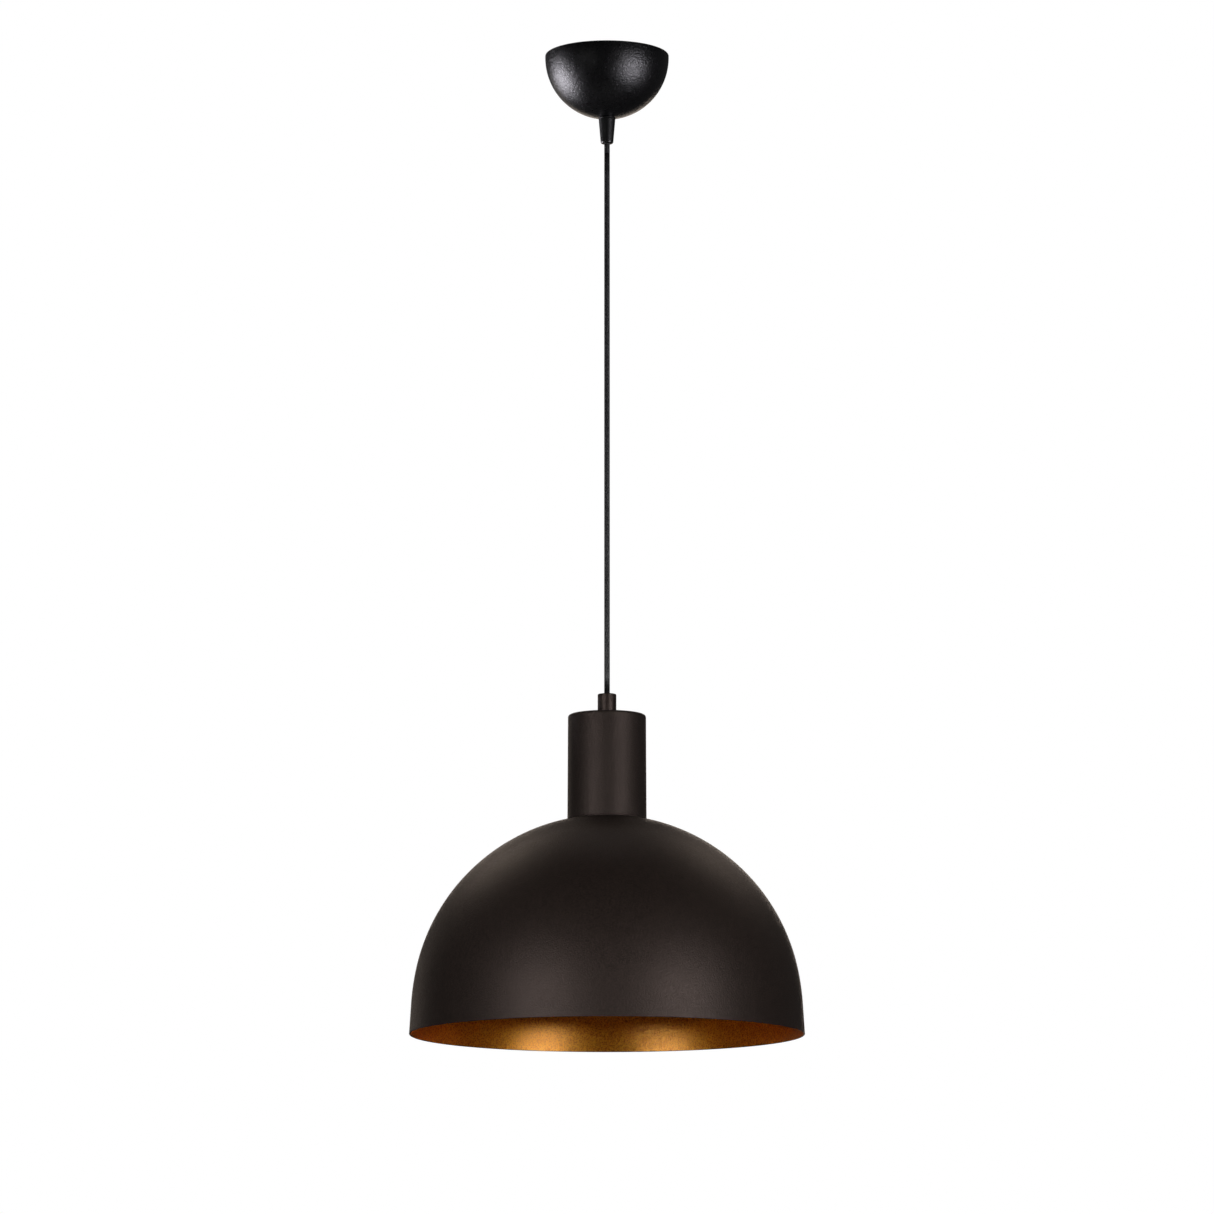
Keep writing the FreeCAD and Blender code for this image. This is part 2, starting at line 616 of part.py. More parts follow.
def grip_nut():
    """Tapered nut with a rounded lower end and a belled mouth for the flex."""
    top = FLANGE_BOTTOM - TURN_GAP
    thread = GRIP_SPIGOT_R + GRIP_NUT_THREAD_GAP
    seat = COLLET_BOTTOM - COLLET_PLAY
    round_z = GRIP_MOUTH + GRIP_NUT_ROUND
    round_r = GRIP_NUT_LOW_R - GRIP_NUT_ROUND
    mouth = FLEX_R + GRIP_NUT_MOUTH_GAP
    bell = GRIP_NUT_BELL
    edge = GRIP_NUT_TOP_EDGE
    edges = straight([(thread, seat), (thread, top), (GRIP_NUT_TOP_R - edge, top),
                      (GRIP_NUT_TOP_R, top - edge), (GRIP_NUT_LOW_R, round_z)])
    edges.append(bow((round_r, round_z), GRIP_NUT_ROUND, -90, 0))
    edges += straight([(round_r, GRIP_MOUTH), (mouth + bell, GRIP_MOUTH)])
    edges.append(bow((mouth + bell, GRIP_MOUTH + bell), bell, -180, -90))
    edges += straight([(mouth, GRIP_MOUTH + bell), (mouth, seat), (thread, seat)])
    return turned(edges)


# ---------------------------------------------------------------- shade outline
def dome_height(radius, centre_z, dome_r):
    """Height of the shade's sphere at a radius."""
    return centre_z + math.sqrt(dome_r ** 2 - radius ** 2)


def dome_plan():
    """Centre of the bend, radius of the sphere, and height of the sphere's centre."""
    flare = math.radians(SKIRT_FLARE_DEG)
    end = math.radians(BEND_END_DEG)
    bend_start = (SHADE_RIM_R - SKIRT_FLARE_OUT, SHADE_RIM_Z + SKIRT_FLARE_OUT / math.tan(flare))
    bend_centre = (bend_start[0] - BEND_R * math.cos(flare), bend_start[1] - BEND_R * math.sin(flare))
    top = (bend_centre[0] + BEND_R * math.cos(end), bend_centre[1] + BEND_R * math.sin(end))
    dome_r = top[0] / math.cos(end)
    return bend_centre, dome_r, top[1] - dome_r * math.sin(end)


BEND_CENTRE, DOME_R, DOME_CENTRE_Z = dome_plan()
SEAT_Z = dome_height(SEAT_R, DOME_CENTRE_Z, DOME_R)
CUP_BOTTOM = dome_height(CUP_BASE_R - CUP_WALL, DOME_CENTRE_Z, DOME_R)


def dome_curves(inset):
    """The shade's edges, each set in from the outside by inset, and the point at the rim."""
    flare = math.radians(SKIRT_FLARE_DEG)
    rim = (SHADE_RIM_R - inset / math.cos(flare), SHADE_RIM_Z)
    r = BEND_R - inset
    knee = (BEND_CENTRE[0] + r * math.cos(flare), BEND_CENTRE[1] + r * math.sin(flare))
    dome_r = DOME_R - inset
    seat_z = SEAT_Z - inset
    top_deg = math.degrees(math.asin((seat_z - DOME_CENTRE_Z) / dome_r))
    edges = straight([rim, knee])
    edges.append(bow(BEND_CENTRE, r, SKIRT_FLARE_DEG, BEND_END_DEG))
    edges.append(bow((0, DOME_CENTRE_Z), dome_r, BEND_END_DEG, top_deg))
    edges += straight([(dome_r * math.cos(math.radians(top_deg)), seat_z), (SEAT_HOLE_R, seat_z)])
    return edges, rim


def dome_shade():
    """The pressed sheet of the shade."""
    outside, outer_rim = dome_curves(0)
    inside, inner_rim = dome_curves(SHADE_SHEET)
    rim = straight([outer_rim, inner_rim])
    hole = straight([(SEAT_HOLE_R, SEAT_Z), (SEAT_HOLE_R, SEAT_Z - SHADE_SHEET)])
    return turned(outside + inside + rim + hole)


# ---------------------------------------------------------------- lamp: sleeve, cup, lampholder
def flex_sleeve():
    """Metal sleeve on the nipple, through which the flex enters the cup."""
    edge = SLEEVE_EDGE
    bore = FLEX_R + FIT_GAP
    thread = M10_R + THREAD_GAP
    thread_top = NIPPLE_TOP + FIT_GAP
    edges = straight([(bore, SLEEVE_TOP), (SLEEVE_R - edge, SLEEVE_TOP)])
    edges.append(bow((SLEEVE_R - edge, SLEEVE_TOP - edge), edge, 90, 0))
    edges += straight([(SLEEVE_R, SLEEVE_TOP - edge), (SLEEVE_R, CUP_TOP), (thread, CUP_TOP),
                       (thread, thread_top), (bore, thread_top), (bore, SLEEVE_TOP)])
    screw_hole = rod(SLEEVE_SCREW_R + THREAD_GAP, FreeCAD.Vector(0, FLEX_R / 2, SLEEVE_SCREW_Z),
                     FreeCAD.Vector(0, SLEEVE_R + BEYOND, SLEEVE_SCREW_Z))
    return turned(edges).cut(screw_hole)


def sleeve_screw():
    """Grub screw at the back of the sleeve, with a hexagon socket."""
    start = FreeCAD.Vector(0, FLEX_R, SLEEVE_SCREW_Z)
    end = FreeCAD.Vector(0, SLEEVE_R - SLEEVE_SCREW_SINK, SLEEVE_SCREW_Z)
    key = placed(hexagon(SLEEVE_SCREW_KEY, -BEYOND, SLEEVE_SCREW_KEY_DEPTH), *end, ALONG_X, 90)
    return rod(SLEEVE_SCREW_R, start, end).cut(key)


def hollow_nipple():
    """Threaded tube that holds sleeve, cup and lampholder together."""
    thread = thread_outline(M10_R, THREAD_DEPTH, THREAD_PITCH, NIPPLE_BOTTOM, NIPPLE_TOP)
    return lathe(thread + [(NIPPLE_BORE_R, NIPPLE_TOP), (NIPPLE_BORE_R, NIPPLE_BOTTOM)])


def cup_side(inset):
    """The cup's side, from its base up to where its top edge starts to round."""
    knee = CUP_BOTTOM + CUP_FLARE
    middle_r = (CUP_LOW_R + CUP_BASE_R) / 2 - CUP_FLARE_SAG
    base = at(CUP_BASE_R - inset, CUP_BOTTOM)
    middle = at(middle_r - inset, CUP_BOTTOM + CUP_FLARE / 2)
    edges = [Part.Arc(base, middle, at(CUP_LOW_R - inset, knee)).toShape()]
    edges += straight([(CUP_LOW_R - inset, knee), (CUP_TOP_R - inset, CUP_TOP - CUP_EDGE)])
    return edges


def socket_cup():
    """Drawn cylinder with a rounded top edge, which stands on the dome."""
    hole = M10_R + 2 * FIT_GAP
    ceiling = CUP_TOP - CUP_WALL
    edge_centre = (CUP_TOP_R - CUP_EDGE, CUP_TOP - CUP_EDGE)
    edges = cup_side(0) + cup_side(CUP_WALL)
    edges.append(bow(edge_centre, CUP_EDGE, 0, 90))
    edges.append(bow(edge_centre, CUP_EDGE - CUP_WALL, 0, 90))
    edges += straight([(edge_centre[0], CUP_TOP), (hole, CUP_TOP), (hole, ceiling),
                       (edge_centre[0], ceiling)])
    edges += straight([(CUP_BASE_R - CUP_WALL, CUP_BOTTOM), (CUP_BASE_R, CUP_BOTTOM)])
    return turned(edges)


def cup_nut():
    """Hexagon nut under the cup's top."""
    high = CUP_TOP - CUP_WALL - WASHER_THICKNESS
    low = high - CUP_NUT_HEIGHT
    return hexagon(CUP_NUT_FLATS, low, high).cut(upright(M10_R + THREAD_GAP, low - BEYOND, high + BEYOND))


def lampholder_cap():
    """Moulded cap of the lampholder, on the nipple above and over the skirt below."""
    neck_bottom = HOLDER_TOP - HOLDER_NECK_HEIGHT
    roof = neck_bottom - HOLDER_WALL
    hole = M10_R + THREAD_GAP
    bow_r = HOLDER_SHOULDER_R - HOLDER_NECK_R
    bow_centre = (HOLDER_NECK_R, neck_bottom - HOLDER_SHOULDER_DROP)
    bow_deg = math.degrees(math.asin(HOLDER_SHOULDER_DROP / bow_r))
    side_r = HOLDER_NECK_R + bow_r * math.cos(math.radians(bow_deg))
    seat_r = SKIRT_R + FIT_GAP
    seat_z = SKIRT_TOP + FIT_GAP
    edges = straight([(hole, HOLDER_TOP), (HOLDER_NECK_R, HOLDER_TOP), (HOLDER_NECK_R, neck_bottom),
                      (side_r, neck_bottom)])
    edges.append(bow(bow_centre, bow_r, bow_deg, 0))
    edges += straight([(HOLDER_SHOULDER_R, bow_centre[1]), (HOLDER_SHOULDER_R, HOLDER_CAP_BOTTOM),
                       (seat_r, HOLDER_CAP_BOTTOM), (seat_r, seat_z), (HOLDER_INSIDE_R, seat_z),
                       (HOLDER_INSIDE_R, roof - HOLDER_INSIDE_BEVEL), (HOLDER_INSIDE_BEVEL_R, roof),
                       (hole, roof), (hole, HOLDER_TOP)])
    return turned(edges)


def lampholder_core():
    """Ceramic block that carries the terminals above and the contacts below."""
    top = CORE_BLOCK_TOP
    step = SKIRT_TOP - SKIRT_SEAT_DEPTH + FIT_GAP
    half = LUG_HALF_Y + LUG_POCKET_GAP
    body = lathe([(0, top), (CORE_BLOCK_R - CORE_BLOCK_EDGE, top), (CORE_BLOCK_R, top - CORE_BLOCK_EDGE),
                  (CORE_BLOCK_R, step), (CORE_BLOCK_LOW_R, step), (CORE_BLOCK_LOW_R, E27_TOP), (0, E27_TOP)])
    body = body.cut(upright(CONTACT_POCKET_R, E27_TOP - BEYOND, E27_TOP + CONTACT_POCKET_DEPTH))
    for side in SIDES:
        ends = sorted((side * LUG_HALF_X, side * (TERMINAL_X + LUG_HALF_X + LUG_POCKET_GAP)))
        body = body.cut(block((ends[0], -half, top - TERMINAL_DEPTH), (ends[1], half, top + BEYOND)))
    strip_slot = block((STRIP_SLOT_X, -STRIP_SLOT_HALF_WIDTH, E27_TOP - BEYOND),
                       (CORE_BLOCK_R - STRIP_SLOT_WALL, STRIP_SLOT_HALF_WIDTH, STRIP_SLOT_TOP))
    return body.cut(strip_slot).removeSplitter()


def lampholder_terminals():
    """Two brass lugs, each with a hole for the wire and one for the screw."""
    low = CORE_BLOCK_TOP - TERMINAL_DEPTH
    wire_z = low + LUG_WIRE_RISE
    found = []
    for side in SIDES:
        x = side * TERMINAL_X
        lug = block((x - LUG_HALF_X, -LUG_HALF_Y, low), (x + LUG_HALF_X, LUG_HALF_Y, low + LUG_HEIGHT))
        wire_hole = rod(LUG_HOLE_R, FreeCAD.Vector(x - LUG_HALF_X - BEYOND, LUG_WIRE_Y, wire_z),
                        FreeCAD.Vector(x + LUG_HALF_X + BEYOND, LUG_WIRE_Y, wire_z))
        screw_hole = upright(LUG_HOLE_R, low + LUG_FLOOR, low + LUG_HEIGHT + BEYOND, x, LUG_SCREW_Y)
        found.append(lug.cut([wire_hole, screw_hole]))
    return found


def lampholder_terminal_screws():
    """One clamping screw in each lug."""
    pin = screw(LUG_HEAD_R, LUG_HEAD, LUG_SCREW_R, LUG_SCREW_LENGTH)
    head_face = CORE_BLOCK_TOP - TERMINAL_DEPTH + LUG_HEIGHT + LUG_HEAD
    return [placed(pin, side * TERMINAL_X, LUG_SCREW_Y, head_face) for side in SIDES]


def centre_contact():
    """Bent brass tongue in the pocket of the core, which the lamp's tip presses."""
    high = E27_TOP + CONTACT_POCKET_DEPTH
    low = high - CONTACT_THICKNESS
    half = CONTACT_HALF_WIDTH
    foot = block((CONTACT_HEEL_X, -half, low), (CONTACT_BEND_X, half, high))
    tongue = block((CONTACT_BEND_X, -half, low), (CONTACT_TIP_X, half, high))
    tongue = tongue.rotated(FreeCAD.Vector(CONTACT_BEND_X, 0, high), ALONG_Y, CONTACT_SLOPE_DEG)
    return foot.fuse(tongue).removeSplitter()


def side_contact():
    """Brass strip from the core down the outside of the screw shell."""
    shell_r = E27_BORE_R + E27_WALL
    low = E27_TOP - STRIP_RISE
    return block((shell_r + THREAD_GAP, -STRIP_HALF_WIDTH, low),
                 (shell_r + E27_LIP, STRIP_HALF_WIDTH, STRIP_SLOT_TOP - TURN_GAP))


def screw_shell():
    """Thin metal shell that the lamp screws into, its wall at the thread's crests."""
    outer = E27_BORE_R + E27_WALL
    return lathe([(E27_BORE_R, E27_TOP), (outer, E27_TOP), (outer, E27_BOTTOM + E27_LIP),
                  (outer + E27_LIP, E27_BOTTOM), (E27_BORE_R, E27_BOTTOM)])


def lampholder_skirt():
    """Outer tube of the lampholder, threaded outside for the shade rings."""
    step = SKIRT_TOP - SKIRT_SEAT_DEPTH
    thread_bottom = SKIRT_BOTTOM + SKIRT_THREAD_START
    thread = thread_outline(SKIRT_R, SKIRT_THREAD_DEPTH, SKIRT_PITCH, thread_bottom, SKIRT_TOP)
    inside = [(SKIRT_SEAT_R, SKIRT_TOP), (SKIRT_SEAT_R, step), (SKIRT_BORE_R, step),
              (SKIRT_BORE_R, SKIRT_BOTTOM + SKIRT_EDGE), (SKIRT_BORE_R + SKIRT_EDGE, SKIRT_BOTTOM),
              (SKIRT_R - SKIRT_THREAD_DEPTH - SKIRT_EDGE, SKIRT_BOTTOM)]
    return lathe(thread + inside)


def shade_ring(face_z, way):
    """Ribbed ring on the skirt. way is 1 if it grows upwards from its face, -1 if downwards."""
    bore = SKIRT_R + THREAD_GAP
    edge = RING_EDGE
    outline = [(bore, 0), (RING_R, 0), (RING_R, RING_DISC - edge), (RING_R - edge, RING_DISC),
               (RING_GRIP_R, RING_DISC), (RING_GRIP_R, RING_HEIGHT - edge),
               (RING_GRIP_R - edge, RING_HEIGHT), (bore, RING_HEIGHT)]
    ring = lathe([(r, face_z + way * rise) for r, rise in outline])
    ends = sorted((face_z + way * RING_DISC, face_z + way * (RING_HEIGHT + BEYOND)))
    groove = upright(RING_GROOVE_R, ends[0], ends[1], RING_GRIP_R + RING_GROOVE_OUT)
    return ring.cut(around(groove, RING_RIBS))


def lamp_core(side):
    """One core, from the end of the flex to its terminal in the lampholder."""
    leave_x = side * 1.1
    entry_z = CORE_BLOCK_TOP - 0.4
    route = [(leave_x, 0, FLEX_BARE_END), (leave_x, 0, NIPPLE_BOTTOM - 3.4),
             (side * 2.6, LUG_WIRE_Y, entry_z + 3.0), (side * (TERMINAL_X - 4.2), LUG_WIRE_Y, entry_z),
             (side * (TERMINAL_X + 0.5), LUG_WIRE_Y, entry_z)]
    return rounded_tube(route, CORE_R)


# ---------------------------------------------------------------- all the pieces, by name
def pieces():
    """Each node's name with its solid, or a list of separate solids."""
    return {
        "mounting_bracket": mounting_bracket(),
        "bracket_hook": bracket_hook(),
        "flex_suspender": flex_suspender(),
        "suspender_clamp": suspender_clamp(),
        "suspender_screws": suspender_screws(),
        "terminal_block": terminal_block(),
        "terminal_inserts": terminal_inserts(),
        "terminal_screws": terminal_screws(),
        "terminal_block_screw": terminal_block_screw(),
        "ceiling_core_brown": ceiling_core(0),
        "ceiling_core_blue": ceiling_core(1),
        "upper_flex": flex_piece(FLEX_TOP, BEND_TOP),
        "canopy_shell": canopy_shell(),
        "grip_stem": grip_stem(),
        "grip_lock_washer": toothed_washer(LOCK_WASHER_R, CANOPY_FLOOR),
        "grip_lock_nut": grip_lock_nut(),
        "grip_collet": grip_collet(),
        "grip_nut": grip_nut(),
        "flex_bend_upper": flex_piece(BEND_TOP, BEND_MIDDLE),
        "flex_bend_lower": flex_piece(BEND_MIDDLE, BEND_BOTTOM),
        "hanging_flex": flex_piece(BEND_BOTTOM, FLEX_END),
        "flex_sleeve": flex_sleeve(),
        "sleeve_screw": sleeve_screw(),
        "lower_flex": flex_piece(FLEX_END, FLEX_BARE_END),
        "hollow_nipple": hollow_nipple(),
        "socket_cup": socket_cup(),
        "cup_washer": toothed_washer(CUP_WASHER_R, CUP_TOP - CUP_WALL - WASHER_THICKNESS),
        "cup_nut": cup_nut(),
        "lampholder_cap": lampholder_cap(),
        "lampholder_core": lampholder_core(),
        "lampholder_terminals": lampholder_terminals(),
        "lampholder_terminal_screws": lampholder_terminal_screws(),
        "lampholder_skirt": lampholder_skirt(),
        "screw_shell": screw_shell(),
        "centre_contact": centre_contact(),
        "side_contact": side_contact(),
        "lamp_core_brown": lamp_core(1),
        "lamp_core_blue": lamp_core(-1),
        "upper_shade_ring": shade_ring(SEAT_Z, 1),
        "lower_shade_ring": shade_ring(SEAT_Z - SHADE_SHEET, -1),
        "dome_shade": dome_shade(),
    }


def main():
    os.makedirs("parts", exist_ok=True)
    for name, made in pieces().items():
        shape = Part.makeCompound(made) if isinstance(made, list) else made
        for solid in shape.Solids:
            if not solid.isValid() or solid.Volume <= 0:
                raise ValueError(f"{name} has a solid that isn't valid")
        shape.exportStep(f"parts/{name}.step")


main()
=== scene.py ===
"""The looks of a pendant ceiling light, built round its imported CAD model.

+Z is up, the ceiling is at Z = 0, and the lamp hangs down the Z axis.
The camera and the studio are placed in metres. The object's own dimensions are in millimetres,
and its turned pieces are outlines of (radius, height) pairs that go round the Z axis.
"""

import math

import bmesh
import bpy
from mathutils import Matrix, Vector


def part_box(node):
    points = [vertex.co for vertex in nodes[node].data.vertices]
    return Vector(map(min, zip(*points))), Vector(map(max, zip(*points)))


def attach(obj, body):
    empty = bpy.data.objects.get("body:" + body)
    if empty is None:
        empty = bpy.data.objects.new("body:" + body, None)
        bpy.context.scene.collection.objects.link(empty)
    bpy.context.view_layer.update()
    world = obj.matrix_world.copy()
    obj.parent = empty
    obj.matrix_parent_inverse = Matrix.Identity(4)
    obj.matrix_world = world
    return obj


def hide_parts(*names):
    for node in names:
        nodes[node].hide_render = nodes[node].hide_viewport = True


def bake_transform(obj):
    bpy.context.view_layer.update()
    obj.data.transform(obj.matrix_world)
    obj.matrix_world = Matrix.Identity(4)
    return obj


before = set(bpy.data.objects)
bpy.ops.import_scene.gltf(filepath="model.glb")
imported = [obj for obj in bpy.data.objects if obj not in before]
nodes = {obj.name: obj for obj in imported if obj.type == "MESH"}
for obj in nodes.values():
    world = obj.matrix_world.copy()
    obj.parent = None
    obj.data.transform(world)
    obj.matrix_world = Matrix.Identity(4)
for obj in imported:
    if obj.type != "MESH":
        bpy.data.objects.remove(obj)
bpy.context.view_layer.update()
scene = bpy.context.scene

MM = 0.001

# ---------------------------------------------------------------- camera and studio
CAMERA_PLACE = (0.0, -4.691, -1.190)
CAMERA_TILT_DEG = 99.15
# lens and sensor width in millimetres
CAMERA_LENS = 183.85
CAMERA_SENSOR = 36.0

BACKDROP = 1.0
AMBIENT = 0.045
FLOOR_Z = -6.0
FLOOR_HALF = 30.0
FLOOR_TONE = (0.86, 0.855, 0.85)

WHITE = (1.0, 1.0, 1.0)
WARM = (1.0, 0.85, 0.72)
COOL = (0.95, 0.92, 1.0)

# name, place, what it is aimed at, width, height, watts, spread in degrees, tone
SOFTBOXES = (
    ("front_left", (-1.02, -1.30, -0.59), (0, 0, -0.76), 0.90, 0.56, 1.05, 50, WHITE),
    ("front_right", (1.13, -1.21, -0.59), (0, 0, -0.76), 0.90, 0.56, 1.14, 50, WHITE),
    ("low_left", (-0.80, -1.30, -0.85), (0, 0, -0.79), 0.80, 0.05, 0.060, 50, WHITE),
    ("low_right", (0.88, -1.21, -0.85), (0, 0, -0.79), 0.80, 0.05, 0.105, 50, WHITE),
    ("canopy_side", (-0.61, 0.245, -0.273), (0, 0, -0.03), 0.55, 0.60, 1.40, 46, COOL),
    ("canopy_front", (0.585, -0.42, -0.365), (0, 0, -0.03), 0.44, 0.44, 0.90, 60, COOL),
    ("back_left", (-0.95, 1.55, -0.60), (0, 0, -0.66), 0.50, 1.10, 0.062, 36, WARM),
    ("back_middle", (0.05, 1.90, -0.45), (0, 0, -0.85), 1.10, 1.00, 0.95, 50, WARM),
    ("top_left", (-0.85, 1.35, 0.68), (0, 0, -0.66), 0.85, 0.85, 0.19, 32, WARM),
    ("top_right", (0.85, 1.35, 0.68), (0, 0, -0.66), 0.85, 0.85, 0.14, 32, WARM),
    ("under", (0, 0, -2.20), (0, 0, -0.70), 0.90, 0.90, 0.70, 60, WHITE),
)

# a narrow lamp high above, which shines down into the canopy
CANOPY_LAMP_Z = 1.2
CANOPY_LAMP_WATTS = 12.0
CANOPY_LAMP_CONE_DEG = 5.6
CANOPY_LAMP_R = 0.03

# ---------------------------------------------------------------- flex
FLEX_TOP = -24.0
BEND_TOP = -70.0
BEND_MIDDLE = -74.0
BEND_BOTTOM = -78.0
FLEX_END = -503.9
FLEX_SIDES = 32
# order of the smooth curve that a length of flex follows
ROUTE_ORDER = 3

# ---------------------------------------------------------------- details of the turned pieces
ROUND_STEPS = 6
TURN_STEPS = 224
SMALL_TURN_STEPS = 96

CANOPY_LIP = 2.0
CANOPY_WALL = 1.6
CANOPY_EDGE = 0.9
CANOPY_INNER_EDGE = 0.3
CANOPY_SEAT_R = 9.6
CANOPY_HOLE_R = 5.1
CANOPY_ARC_STEPS = 40

GRIP_THREAD_R = 4.67
GRIP_THREAD_ROUND = 0.2
GRIP_SEAT_Z = -62.5
GRIP_SEAT_ROUND = 0.1
GRIP_LOW_R = 4.8
GRIP_ROUND = 1.5
GRIP_BELL = 0.8
GRIP_MOUTH_R = 2.4
GRIP_TOP_ROUND = 0.35

CUP_WALL = 0.9
CUP_TOP_R = 29.82
CUP_LOW_R = 30.12
CUP_EDGE = 2.2
CUP_HOLE_R = 5.2
CUP_HOLE_EDGE = 0.15
CUP_FLARE = 13.0
CUP_FLARE_STEPS = 8
CUP_LIP_HEIGHT = 1.1
CUP_LIP_OUT = 0.28
CUP_LIP_FACE = 0.4
CUP_LIP_ROUND = 0.2
CUP_FOOT_ROUND = 0.1

SHADE_SHEET = 0.8
SHADE_FLARE_DEG = 3.5
SHADE_FLARE_OUT = 1.4
SHADE_BEND_END_DEG = 13.4
SHADE_BEND_R = 178.0
SHADE_BEND_STEPS = 10
SHADE_DOME_STEPS = 64
SHADE_RIM_STEPS = 10
SHADE_HOLE_R = 20.2

SHELL_CREST_R = 13.05
SHELL_ROOT_R = 14.05
SHELL_SHEET = 0.35
SHELL_PITCH = 3.629
SHELL_FLARE_HEIGHT = 1.0
SHELL_ROW = 0.2

# ---------------------------------------------------------------- tones, as linear red, green, blue
BROWN_DARK = (0.007, 0.0048, 0.0039)
BROWN_LIGHT = (0.019, 0.0128, 0.0104)
BROWN_SHINE = (1.0, 0.78, 0.71, 1.0)
CUP_DARK = (0.011, 0.0082, 0.0068)
CUP_LIGHT = (0.017, 0.0125, 0.0105)
GOLD_DARK = (0.56, 0.17, 0.003)
GOLD_MIDDLE = (0.80, 0.36, 0.03)
GOLD_LIGHT = (0.96, 0.45, 0.032)
CANOPY_DARK = (0.0006, 0.0006, 0.0008)
CANOPY_LIGHT = (0.0014, 0.0014, 0.0017)
CANOPY_PLAIN = (0.002, 0.002, 0.0023)
GRIP_TONE = 0.002
HOLDER_TONE = 0.016
FLEX_DARK = (0.009, 0.009, 0.009)
FLEX_MIDDLE = (0.012, 0.012, 0.012)
FLEX_LIGHT = (0.016, 0.016, 0.017)
CORE_BROWN_DARK = (0.075, 0.028, 0.012)
CORE_BROWN_LIGHT = (0.115, 0.045, 0.020)
CORE_BLUE_DARK = (0.015, 0.065, 0.24)
CORE_BLUE_LIGHT = (0.025, 0.105, 0.36)
NYLON_DARK = (0.70, 0.68, 0.62)
NYLON_MIDDLE = (0.76, 0.75, 0.70)
NYLON_LIGHT = (0.80, 0.79, 0.75)
CERAMIC_DARK = (0.60, 0.55, 0.47)
CERAMIC_MIDDLE = (0.80, 0.77, 0.70)
CERAMIC_LIGHT = (0.82, 0.79, 0.73)
ZINC_DARK = (0.50, 0.51, 0.53)
ZINC_LIGHT = (0.66, 0.67, 0.70)
BRASS_DARK = (0.56, 0.37, 0.14)
BRASS_LIGHT = (0.78, 0.58, 0.27)
NICKEL_DARK = (0.58, 0.54, 0.47)
NICKEL_LIGHT = (0.74, 0.71, 0.65)

# ---------------------------------------------------------------- textures, sizes and depths in mm
COAT_GRAIN = 1.2
COAT_GRAIN_DEPTH = 0.26
COAT_PEEL = 3.0
COAT_PEEL_DEPTH = 0.05
GOLD_GRAIN = 1.2
GOLD_GRAIN_DEPTH = 0.08
GOLD_FLAKE = 0.9
GOLD_FLAKE_DEPTH = 0.05
CANOPY_GRAIN = 1.3
CANOPY_GRAIN_DEPTH = 0.42
MOULDED_GRAIN = 0.4
MOULDED_GRAIN_DEPTH = 0.01
FLEX_LINES = 0.5
FLEX_LINES_DEPTH = 0.02
FLEX_CLOUDS = 6.0
CORE_GRAIN = 0.3
CORE_GRAIN_DEPTH = 0.01
CORE_CLOUDS = 3.0
NYLON_GRAIN = 0.5
NYLON_GRAIN_DEPTH = 0.015
NYLON_CLOUDS = 4.0
NYLON_LIGHT_DEPTH = 1.5
CERAMIC_SPECKS = 0.5
CERAMIC_SPECKS_DEPTH = 0.02
METAL_MARKS = 0.3
METAL_MARKS_DEPTH = 0.008

# a texture's scale along X, Y and Z: 1 leaves its grains round, 0.02 makes them fifty times as long
FLEX_LINES_STRETCH = (1, 1, 0.02)
NICKEL_STRETCH = (1, 1, 0.1)

# how far a roughness goes below and above its middle value
COAT_ROUGHNESS_SWING = 0.08
MOULDED_SMOOTHER = 0.05
MOULDED_ROUGHER = 0.06

# what a moulded black's tone is multiplied by, for its darkest and its lightest parts
MOULDED_DARKER = 0.8
MOULDED_LIGHTER = 1.2
MOULDED_BLUER = 1.25

# the part of a noise texture's 0 to 1 over which a roughness, a tone or the specks' tone changes
NOISE_LOW = 0.3
NOISE_HIGH = 0.7
RAMP_START = 0.35
RAMP_END = 0.65
SPECKS_START = 0.25
SPECKS_END = 0.42


# ---------------------------------------------------------------- camera, lights, floor
def aim(thing, target):
    """Turns a light so that it shines at a point."""
    direction = Vector(target) - thing.location
    thing.rotation_euler = direction.to_track_quat("-Z", "Y").to_euler()


def linked(name, data):
    """A new object in the scene."""
    thing = bpy.data.objects.new(name, data)
    scene.collection.objects.link(thing)
    return thing


def make_camera():
    """A long lens in front of the lamp, a little below it and tilted up."""
    data = bpy.data.cameras.new("camera")
    data.lens = CAMERA_LENS
    data.sensor_width = CAMERA_SENSOR
    camera = linked("camera", data)
    camera.location = CAMERA_PLACE
    camera.rotation_euler = (math.radians(CAMERA_TILT_DEG), 0, 0)
    scene.camera = camera


def make_softboxes():
    """Soft rectangular lights round the object, which the camera doesn't see."""
    for name, place, target, width, height, watts, spread, tone in SOFTBOXES:
        data = bpy.data.lights.new(name, "AREA")
        data.shape = "RECTANGLE"
        data.size = width
        data.size_y = height
        data.energy = watts
        data.color = tone
        data.spread = math.radians(spread)
        light = linked(name, data)
        light.location = place
        light.visible_camera = False
        aim(light, target)


def make_canopy_lamp():
    """Lights the bracket and the terminals inside the canopy, from high above them."""
    data = bpy.data.lights.new("into_canopy", "SPOT")
    data.energy = CANOPY_LAMP_WATTS
    data.spot_size = math.radians(CANOPY_LAMP_CONE_DEG)
    data.shadow_soft_size = CANOPY_LAMP_R
    linked("into_canopy", data).location = (0, 0, CANOPY_LAMP_Z)


